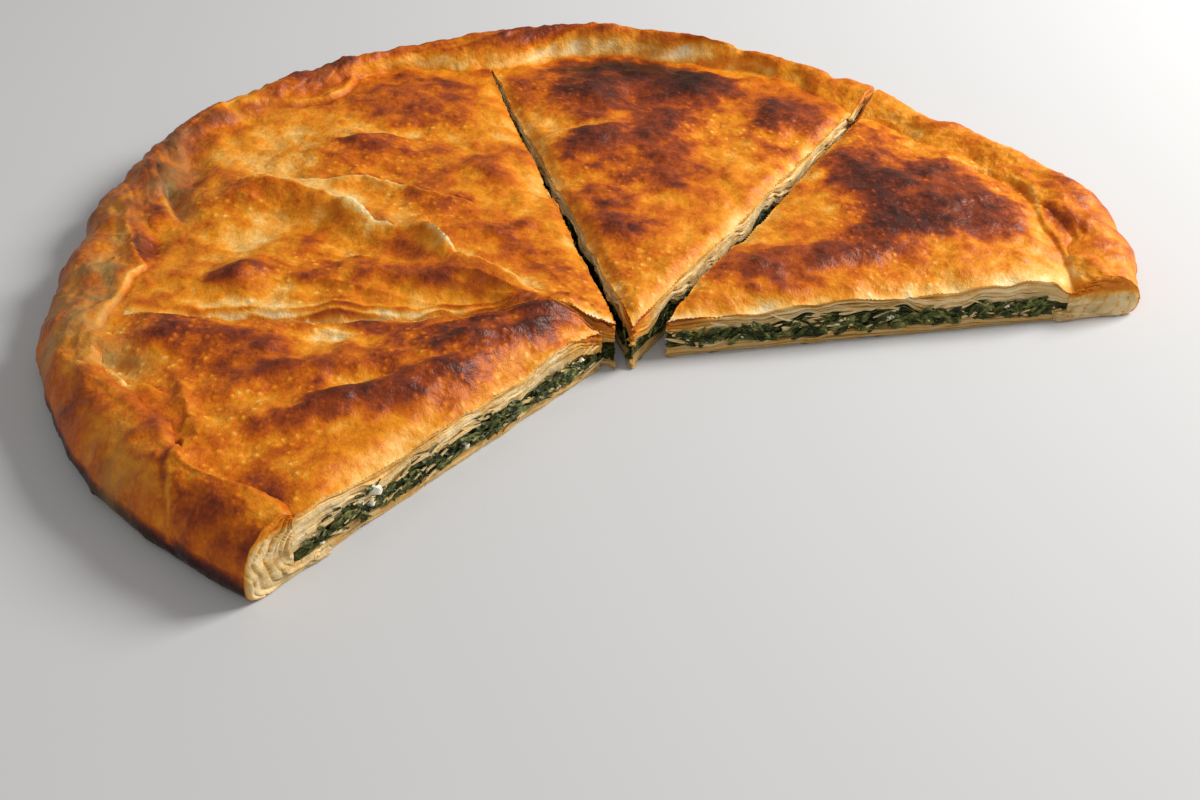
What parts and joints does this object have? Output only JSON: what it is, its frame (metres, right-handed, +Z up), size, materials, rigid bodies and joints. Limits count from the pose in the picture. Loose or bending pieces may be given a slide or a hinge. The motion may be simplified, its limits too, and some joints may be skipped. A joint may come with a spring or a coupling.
{
  "type": "cut spanakopita pie",
  "caption": "Round spinach and feta filo pie with a folded rim, cut into wedges, with part of the round eaten away so that the layers show.",
  "frame": {"origin": "on the surface it rests on, under the middle of the box round the remaining slices", "axes": "+Z up, +Y towards the back of the pie as it is shown, away from the eaten part's open side, +X to the right"},
  "size_m": [0.3516, 0.323, 0.0288],
  "materials": {
    "base_crust": "baked filo, oiled: folded rim orange brown, underside and foot dark brown",
    "spinach_filling": "moist cooked spinach, dark green, with white feta crumbs",
    "top_crust": "baked filo, brushed with egg: golden to orange brown, dark brown on the blisters"
  },
  "bodies": {
    "root": {"slice_1_base": "base_crust", "slice_1_filling": "spinach_filling", "slice_1_top": "top_crust", "slice_2_base": "base_crust", "slice_2_filling": "spinach_filling", "slice_2_top": "top_crust", "slice_3_base": "base_crust", "slice_3_filling": "spinach_filling", "slice_3_top": "top_crust", "slice_4_base": "base_crust", "slice_4_filling": "spinach_filling", "slice_4_top": "top_crust", "slice_5_base": "base_crust", "slice_5_filling": "spinach_filling", "slice_5_top": "top_crust"}
  },
  "joints": []
}
